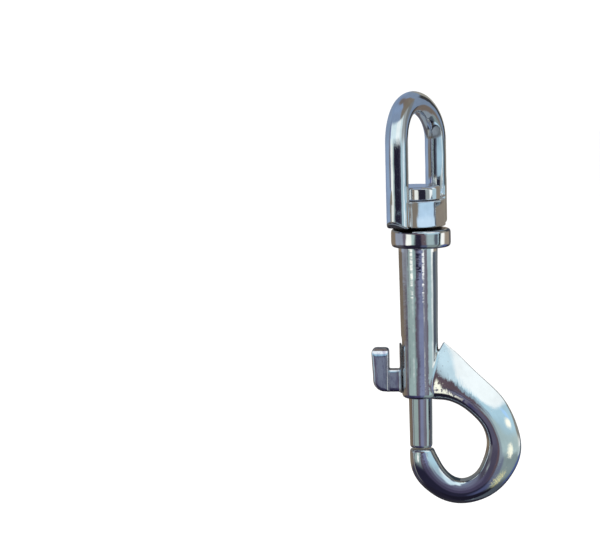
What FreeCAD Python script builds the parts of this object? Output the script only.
import FreeCAD, Part
import math
import os

# Swivel-eye bolt snap, millimetres, +Z up.
# Origin: middle of the eye's clear opening. Z is the axis of the barrel, the bolt and the swivel.
# The hook bows out to +X; the thumb lever is on the -X side.
# Parts lie in place. Names in _TOP and _BOT are heights (z), names in _R are radii.

V = FreeCAD.Vector
ORIGIN, X_AXIS, Y_AXIS, Z_AXIS = V(0, 0, 0), V(1, 0, 0), V(0, 1, 0), V(0, 0, 1)

# ---- sizes shared by several parts --------------------------------------------------------------
CLEAR = 0.07                # running clearance per side
OVERCUT = 1.0               # how far a cutter runs past the face it opens
TOUCH = 1e-3                # tolerance when picking edges by position

HEAD_R, HEAD_TOP, HEAD_BOT = 5.60, -8.90, -12.20    # stud
SHANK_R = 2.2

CAP_R, CAP_TOP, CAP_BOT = 7.25, -19.35, -23.85

BAR_TOP_R, BAR_R = 4.78, 4.50                       # barrel
TUBE_TOP, BAR_BOT = -21.80, -60.95
BORE_R = 2.95
STUD_BOT = TUBE_TOP - 1.5

PEG_R, PEG_Z = 1.40, -57.00     # the lever's peg, which lies along X
PEG_END = 2.0                   # how far the peg runs past the axis
SIDE_REACH = 8.0                # how far cutters on the -X side start from the axis

BOLT_TOP = -50.50               # shoulder that carries the spring


# ---- helpers ------------------------------------------------------------------------------------
def cylinder(radius, bottom, top, x=0.0):
    """An upright cylinder between two heights."""
    return Part.makeCylinder(radius, top - bottom, V(x, 0, bottom))


def side_peg(radius, x, z, length):
    """A cylinder that runs along +X from (x, 0, z)."""
    return Part.makeCylinder(radius, length, V(x, 0, z), X_AXIS)


def turned(points):
    """A solid of revolution about Z from (r, z) points."""
    corners = [V(r, 0, z) for r, z in points]
    wire = Part.makePolygon(corners + [corners[0]])
    return Part.Face(wire).revolve(ORIGIN, Z_AXIS, 360)


def corner_points(radius, end_z, width, height, steps):
    """(r, z) points round the corner of a turned end, from the end face to the side.

    A positive height is for an upper end, a negative one for a lower end.
    """
    points = []
    for i in range(steps + 1):
        angle = math.radians(90 * i / steps)
        points.append((radius - width + width * math.sin(angle),
                       end_z - height + height * math.cos(angle)))
    return points


def rounded(shape, radius, test):
    """The shape with the edges whose centre passes the test filleted."""
    edges = [edge for edge in shape.Edges if test(edge.CenterOfMass)]
    # A fillet that the kernel can't build leaves the edges sharp.
    try:
        filleted = shape.makeFillet(radius, edges)
        if filleted.isValid() and filleted.Volume > 0:
            return filleted
    except Exception:
        pass
    return shape


def skinned(rows):
    """A solid skinned through rows of (x, y, z) points with y >= 0, mirrored in the plane y = 0.

    Each row runs from one edge of the section to the other, both on y = 0, and lies in one plane.
    """
    surface = Part.BSplineSurface()
    surface.interpolate([[V(*point) for point in row] for row in rows])
    half = surface.toShape()
    other = half.mirror(ORIGIN, Y_AXIS)
    faces = [half.Faces[0], other.Faces[0]]
    for row in (rows[0], rows[-1]):
        middle = V(*[sum(column) / len(row) for column in zip(*row)])
        rim = min(half.Edges, key=lambda edge: (edge.CenterOfMass - middle).Length)
        loop = Part.__sortEdges__([rim, rim.mirror(ORIGIN, Y_AXIS)])
        faces.append(Part.Face(Part.Wire(loop)))
    shell = Part.makeShell(faces)
    shell.sewShape()
    solid = Part.Solid(shell.Shells[0])
    if solid.Volume < 0:
        solid.reverse()
    return solid


def export(shape, name):
    if shape.ShapeType == "Compound" and len(shape.Solids) == 1:
        shape = shape.Solids[0]
    if not shape.isValid():
        shape.fix(0.01, 0.01, 0.01)
    shape.exportStep("parts/%s.step" % name)


# ---- hook body: barrel and hook in one ----------------------------------------------------------
TAPER_END = -46.5               # the barrel tapers down to here
EDGE_WIDTH, EDGE_HEIGHT = 1.15, 1.45    # rounding of the barrel's lower end
GATE_CLEAR, GATE_DEPTH = 0.25, 3.0      # space cleared round the bolt below the barrel
SLOT_WIDTH = 2 * (PEG_R + CLEAR)
SLOT_END_GAP = 0.10             # free space past the peg at either end of the slot
TRAVEL = 10.0                   # of the bolt
TIP_TOP = -73.60
SECTION_POINTS = 15

# Hook stations from root to tip: outer x, z, inner x, z, half thickness, skew of the thickest
# point towards the inner side, bluntness of the outer edge.
HOOK = [
    (5.90, -47.16, -0.08, -57.91, 2.30, 2.10, 0.05),
    (7.52, -48.62, 1.82, -61.15, 2.90, 2.10, 0.05),
    (9.45, -50.36, 4.88, -61.44, 3.20, 2.10, 0.05),
    (12.32, -53.36, 7.80, -62.05, 3.45, 2.10, 0.05),
    (15.59, -56.45, 10.47, -63.44, 3.50, 2.10, 0.06),
    (18.04, -58.78, 12.59, -65.23, 3.48, 2.05, 0.06),
    (20.01, -60.94, 14.18, -66.87, 3.42, 2.00, 0.07),
    (21.37, -62.97, 15.14, -68.26, 3.36, 1.95, 0.08),
    (22.72, -65.74, 15.77, -70.09, 3.30, 1.90, 0.09),
    (23.80, -68.84, 16.00, -71.48, 3.25, 1.80, 0.11),
    (24.46, -72.21, 16.00, -72.85, 3.20, 1.70, 0.14),
    (24.38, -74.74, 15.71, -74.52, 3.17, 1.60, 0.18),
    (23.62, -77.40, 15.17, -76.11, 3.15, 1.50, 0.23),
    (21.83, -80.63, 14.26, -78.15, 3.12, 1.38, 0.30),
    (19.57, -83.37, 13.19, -79.60, 3.10, 1.28, 0.40),
    (16.66, -85.50, 11.95, -80.50, 3.08, 1.20, 0.55),
    (12.95, -86.95, 10.67, -81.00, 3.06, 1.12, 0.75),
    (9.20, -87.40, 9.25, -81.10, 3.04, 1.05, 1.00),
    (5.34, -86.62, 7.60, -80.50, 3.02, 1.00, 1.00),
    (1.76, -84.50, 6.05, -79.10, 3.00, 1.00, 1.00),
    (-1.13, -81.66, 4.82, -77.31, 2.98, 1.00, 1.00),
    (-2.55, -78.75, 4.04, -75.71, 2.96, 1.00, 1.00),
    (-2.88, -76.19, 3.42, -74.62, 2.92, 1.00, 1.00),
    (-2.78, TIP_TOP, 3.10, TIP_TOP, 2.88, 1.00, 1.00),
]


def hook_section(outer_x, outer_z, inner_x, inner_z, half_thick, skew, blunt):
    """Half of the hook's section, from its outer edge to its inner edge."""
    row = []
    for i in range(SECTION_POINTS):
        share = (1 - math.cos(math.pi * i / (SECTION_POINTS - 1))) / 2
        skewed = (1 - blunt) * share ** skew + blunt * share
        row.append((outer_x + (inner_x - outer_x) * share,
                    half_thick * math.sqrt(max(0.0, 1 - (2 * skewed - 1) ** 2)),
                    outer_z + (inner_z - outer_z) * share))
    return row


def make_slot():
    """The cutter for the round-ended slot in the barrel's -X side."""
    low = PEG_Z - PEG_R - SLOT_END_GAP + SLOT_WIDTH / 2
    high = PEG_Z + PEG_R + TRAVEL + SLOT_END_GAP - SLOT_WIDTH / 2
    slot = Part.makeBox(SIDE_REACH, SLOT_WIDTH, high - low, V(-SIDE_REACH, -SLOT_WIDTH / 2, low))
    for z in (low, high):
        slot = slot.fuse(side_peg(SLOT_WIDTH / 2, -SIDE_REACH, z, SIDE_REACH))
    return slot.removeSplitter()


def make_hook_body():
    hook = skinned([hook_section(*station) for station in HOOK])
    profile = [(0, TUBE_TOP), (BAR_TOP_R, TUBE_TOP), (BAR_TOP_R, CAP_BOT), (BAR_R, TAPER_END)]
    profile += reversed(corner_points(BAR_R, BAR_BOT, EDGE_WIDTH, -EDGE_HEIGHT, 9))
    profile.append((0, BAR_BOT))
    body = turned(profile).fuse(hook).removeSplitter()
    body = body.cut(cylinder(BORE_R, BAR_BOT - 2.0, TUBE_TOP + OVERCUT))
    # the root of the hook must not stand in the gate below the barrel's end
    body = body.cut(cylinder(BORE_R + GATE_CLEAR, BAR_BOT - GATE_DEPTH, BAR_BOT))
    return body.cut(make_slot())


# ---- end cap: collar over the barrel's top ------------------------------------------------------
CAP_OFFSET = 0.75               # the collar sits a little off the axis, towards the hook
CAP_EDGE = 1.0


def make_end_cap():
    cap = cylinder(CAP_R, CAP_BOT, CAP_TOP, CAP_OFFSET)
    cap = rounded(cap, CAP_EDGE,
                  lambda c: abs(c.z - CAP_TOP) < TOUCH or abs(c.z - CAP_BOT) < TOUCH)
    cap = cap.cut(cylinder(BAR_TOP_R, CAP_BOT - OVERCUT, TUBE_TOP))
    return cap.cut(cylinder(SHANK_R, TUBE_TOP - OVERCUT, CAP_TOP + OVERCUT))


# ---- swivel stud: head, shank and tail ----------------------------------------------------------
HEAD_ROUND, HEAD_CHAMFER = 0.75, 0.2    # upper and lower edge of the head
TAIL_R, TAIL_CHAMFER = 2.75, 0.4


def make_swivel_stud():
    profile = [(0, HEAD_TOP)]
    profile += corner_points(HEAD_R, HEAD_TOP, HEAD_ROUND, HEAD_ROUND, 7)
    profile += [
        (HEAD_R, HEAD_BOT + HEAD_CHAMFER), (HEAD_R - HEAD_CHAMFER, HEAD_BOT),
        (SHANK_R, HEAD_BOT), (SHANK_R, TUBE_TOP),
        (TAIL_R, TUBE_TOP), (TAIL_R, STUD_BOT + TAIL_CHAMFER),
        (TAIL_R - TAIL_CHAMFER, STUD_BOT), (0, STUD_BOT),
    ]
    return turned(profile)


# ---- swivel eye: built in the XZ plane, then turned about Z -------------------------------------
EYE_TURN = 61.0             # degrees from the hook's plane
EYE_LEG = 8.6               # axis to the middle of a leg
ROD_IN_PLANE, ROD_ACROSS = 2.70, 2.65   # half section, in the eye's plane and across it
EYE_UNEVEN = 0.03           # the rod is this share thicker on the -X leg and thinner on the other
ARCH_Z = 1.7                # where the legs end and the arch starts
ARCH_HEIGHT = 9.45          # of the arch's centreline
ARCH_LEAN = -1.2            # how far the crown of the arch sits off the middle
LEG_GAP = 0.9               # from the last leg station up to the start of the arch
LEG_STEPS, ARCH_STEPS, ROD_STEPS = 9, 16, 10
BASE_TOP, BASE_BOT = -12.28, -18.70
WEB_INSET = 0.25            # the web's faces lie this far inside the rod's
HUB_R, HUB_WAIST_R = 6.90, 6.65
HUB_WAIST_HALF = 1.2        # half height of the hub's waist
CHAMFER_RUN, CHAMFER_RISE = 1.9, 1.15   # lower outer corners
CHAMFER_OUT, CHAMFER_OUT_RISE = 0.5, 1.45   # the cutter's outer side, past the rod
CHAMFER_HALF = 8.0          # half width of the chamfer cutter
HEAD_CLEAR, HEAD_CLEAR_TOP = 0.25, 0.4  # room round and above the stud's head


def eye_section(x, z, out_x, out_z):
    """Half of the rod's section at (x, z), where (out_x, out_z) points outwards."""
    row = []
    scale = 1 - EYE_UNEVEN * x / EYE_LEG
    for i in range(ROD_STEPS + 1):
        angle = math.pi * i / ROD_STEPS
        out = ROD_IN_PLANE * scale * math.cos(angle)
        row.append((x + out * out_x, ROD_ACROSS * scale * math.sin(angle), z + out * out_z))
    return row


def eye_stations():
    """Up the -X leg, over the arch and down the +X leg."""
    leg_length = ARCH_Z - LEG_GAP - BASE_BOT
    leg_heights = [BASE_BOT + leg_length * i / LEG_STEPS for i in range(LEG_STEPS + 1)]
    stations = [(-EYE_LEG, z, -1.0, 0.0) for z in leg_heights]
    for i in range(1, ARCH_STEPS):
        angle = math.pi * (1 - i / ARCH_STEPS)
        x = EYE_LEG * math.cos(angle) + ARCH_LEAN * math.sin(angle) ** 2
        z = ARCH_Z + ARCH_HEIGHT * math.sin(angle)
        # the tangent turned a quarter turn points outwards
        slope_x = -EYE_LEG * math.sin(angle) + ARCH_LEAN * math.sin(2 * angle)
        slope_z = ARCH_HEIGHT * math.cos(angle)
        length = math.hypot(slope_x, slope_z)
        stations.append((x, z, slope_z / length, -slope_x / length))
    return stations + [(EYE_LEG, z, 1.0, 0.0) for z in reversed(leg_heights)]


def make_swivel_eye():
    ring = skinned([eye_section(*station) for station in eye_stations()])
    web_half = ROD_ACROSS - WEB_INSET
    web = Part.makeBox(2 * EYE_LEG, 2 * web_half, BASE_TOP - BASE_BOT,
                       V(-EYE_LEG, -web_half, BASE_BOT))
    middle = (BASE_TOP + BASE_BOT) / 2
    hub = turned([(0, BASE_TOP), (HUB_R, BASE_TOP), (HUB_WAIST_R, middle + HUB_WAIST_HALF),
                  (HUB_WAIST_R, middle - HUB_WAIST_HALF), (HUB_R, BASE_BOT), (0, BASE_BOT)])
    eye = ring.fuse([web, hub]).removeSplitter()
    for side in (-1, 1):
        corner = side * (EYE_LEG + ROD_IN_PLANE)
        inner, outer = corner - side * CHAMFER_RUN, corner + side * CHAMFER_OUT
        outline = [(inner, 0), (outer, 0), (outer, CHAMFER_OUT_RISE), (corner, CHAMFER_RISE),
                   (inner, 0)]
        wedge = Part.makePolygon([V(x, -CHAMFER_HALF, BASE_BOT + rise) for x, rise in outline])
        eye = eye.cut(Part.Face(wedge).extrude(V(0, 2 * CHAMFER_HALF, 0)))
    eye = eye.cut(cylinder(SHANK_R + CLEAR, BASE_BOT - OVERCUT, BASE_TOP + OVERCUT))
    # room for the stud's head between the legs
    eye = eye.cut(cylinder(HEAD_R + HEAD_CLEAR, BASE_TOP, HEAD_TOP + HEAD_CLEAR_TOP))
    eye.rotate(ORIGIN, Z_AXIS, EYE_TURN)
    return eye


# ---- bolt, with a spigot on top and a hole for the peg ------------------------------------------
BOLT_R, NOSE_R = BORE_R - CLEAR, 2.74
BOLT_BOT = -73.30
NOSE_ROUND = 0.55
NOSE_TAPER_RISE = 0.6           # the taper ends this far above the barrel's lower end
SHOULDER_CHAMFER = 0.3
SPIGOT_R, SPIGOT_TOP, SPIGOT_CHAMFER = 1.60, -46.00, 0.4


def make_bolt():
    profile = [(0, BOLT_BOT)]
    profile += corner_points(NOSE_R, BOLT_BOT, NOSE_ROUND, -NOSE_ROUND, 6)
    profile += [
        (BOLT_R, BAR_BOT + NOSE_TAPER_RISE), (BOLT_R, BOLT_TOP - SHOULDER_CHAMFER),
        (BOLT_R - SHOULDER_CHAMFER, BOLT_TOP), (SPIGOT_R, BOLT_TOP),
        (SPIGOT_R, SPIGOT_TOP - SPIGOT_CHAMFER), (SPIGOT_R - SPIGOT_CHAMFER, SPIGOT_TOP),
        (0, SPIGOT_TOP),
    ]
    return turned(profile).cut(side_peg(PEG_R, -SIDE_REACH, PEG_Z, SIDE_REACH + PEG_END))


# ---- thumb lever: upright, arm, curved shoe on the barrel, peg ----------------------------------
LEVER_OUT, LEVER_IN = -11.80, -7.50     # x of the upright's outer and inner edge
LEVER_TOP, LEVER_BOT = -48.30, -59.35
LEVER_HALF, LEVER_EDGE = 2.0, 0.7       # half thickness, edge fillet
OUT_TOP_R, IN_TOP_R, OUT_BOT_R = 1.7, 1.3, 2.9  # the upright's round corners
LEVER_LEAN = 0.35               # the outer edge slants inwards going down
ARM_TOP, ARM_BOT = -53.70, -59.50
ARM_HALF, ARM_EDGE = 1.30, 0.45
ARM_SINK = 0.6                  # how far the arm runs into the upright
SHOE_IN_R, SHOE_OUT_R = BAR_R + 0.12, BAR_R + 0.46
SHOE_TOP, SHOE_BOT = -47.50, -59.60
SHOE_HALF_DEG = 22.5
JOIN_R = SHOE_IN_R + 0.2        # arm and peg both end here, inside the shoe


def make_upright():
    def point(x, z):
        return V(x, -LEVER_HALF, z)

    def corner(start, x, z, radius, degrees, end):
        """An arc about (x, z), whose middle lies at the given angle."""
        angle = math.radians(degrees)
        middle = point(x + radius * math.cos(angle), z + radius * math.sin(angle))
        return Part.Arc(start, middle, end).toShape()

    def line(start, end):
        return Part.LineSegment(start, end).toShape()

    low_out = LEVER_OUT + LEVER_LEAN
    a = point(LEVER_OUT, LEVER_TOP - OUT_TOP_R)
    b = point(LEVER_OUT + OUT_TOP_R, LEVER_TOP)
    c = point(LEVER_IN - IN_TOP_R, LEVER_TOP)
    d = point(LEVER_IN, LEVER_TOP - IN_TOP_R)
    e = point(LEVER_IN, LEVER_BOT)
    f = point(low_out + OUT_BOT_R, LEVER_BOT)
    g = point(low_out, LEVER_BOT + OUT_BOT_R)
    outline = Part.Wire([
        corner(a, b.x, a.z, OUT_TOP_R, 135, b),
        line(b, c),
        corner(c, c.x, d.z, IN_TOP_R, 45, d),
        line(d, e),
        line(e, f),
        corner(f, f.x, g.z, OUT_BOT_R, 225, g),
        line(g, a),
    ])
    upright = Part.Face(outline).extrude(V(0, 2 * LEVER_HALF, 0))
    return rounded(upright, LEVER_EDGE, lambda c: abs(abs(c.y) - LEVER_HALF) < TOUCH)


def make_arm():
    start = LEVER_IN - ARM_SINK
    length = -JOIN_R - start
    arm = Part.makeBox(length, 2 * ARM_HALF, ARM_TOP - ARM_BOT, V(start, -ARM_HALF, ARM_BOT))
    # only the four long edges have their centres halfway along
    return rounded(arm, ARM_EDGE, lambda c: abs(c.x - (start + length / 2)) < 0.01)


def make_shoe():
    shoe = cylinder(SHOE_OUT_R, SHOE_BOT, SHOE_TOP)
    shoe = shoe.cut(cylinder(SHOE_IN_R, SHOE_BOT - OVERCUT, SHOE_TOP + OVERCUT))
    half = SHOE_OUT_R * math.sin(math.radians(SHOE_HALF_DEG))
    outline = Part.makeBox(8, 2 * half, SHOE_TOP - SHOE_BOT, V(-9, -half, SHOE_BOT))
    outline = rounded(outline, half * 0.95,
                      lambda c: abs(abs(c.y) - half) < TOUCH and abs(c.z - SHOE_TOP) < TOUCH)
    return shoe.common(outline)


def make_thumb_lever():
    peg = side_peg(PEG_R, -JOIN_R, PEG_Z, JOIN_R + PEG_END)
    return make_upright().fuse([make_arm(), make_shoe(), peg]).removeSplitter()


# ---- return spring, between the bolt's shoulder and the stud's tail -----------------------------
WIRE_R, COIL_R, TURNS = 0.34, 2.30, 11.0
SPRING_GAP = 0.01               # at either end


def make_return_spring():
    length = STUD_BOT - BOLT_TOP - 2 * (WIRE_R + SPRING_GAP)
    helix = Part.makeHelix(length / TURNS, length, COIL_R)
    helix.translate(V(0, 0, BOLT_TOP + WIRE_R + SPRING_GAP))
    first = helix.Edges[0]
    start = first.valueAt(first.FirstParameter)
    tangent = first.tangentAt(first.FirstParameter)
    section = Part.Wire([Part.makeCircle(WIRE_R, start, tangent)])
    spring = Part.Wire(helix.Edges).makePipeShell([section], True, True)
    # the sweep may come back as an open-ended type
    if spring.ShapeType != "Solid":
        spring = Part.Solid(spring.Shells[0])
    return spring


os.makedirs("parts", exist_ok=True)
export(make_hook_body(), "hook_body")
export(make_end_cap(), "end_cap")
export(make_swivel_stud(), "swivel_stud")
export(make_swivel_eye(), "swivel_eye")
export(make_bolt(), "bolt")
export(make_thumb_lever(), "thumb_lever")
export(make_return_spring(), "return_spring")
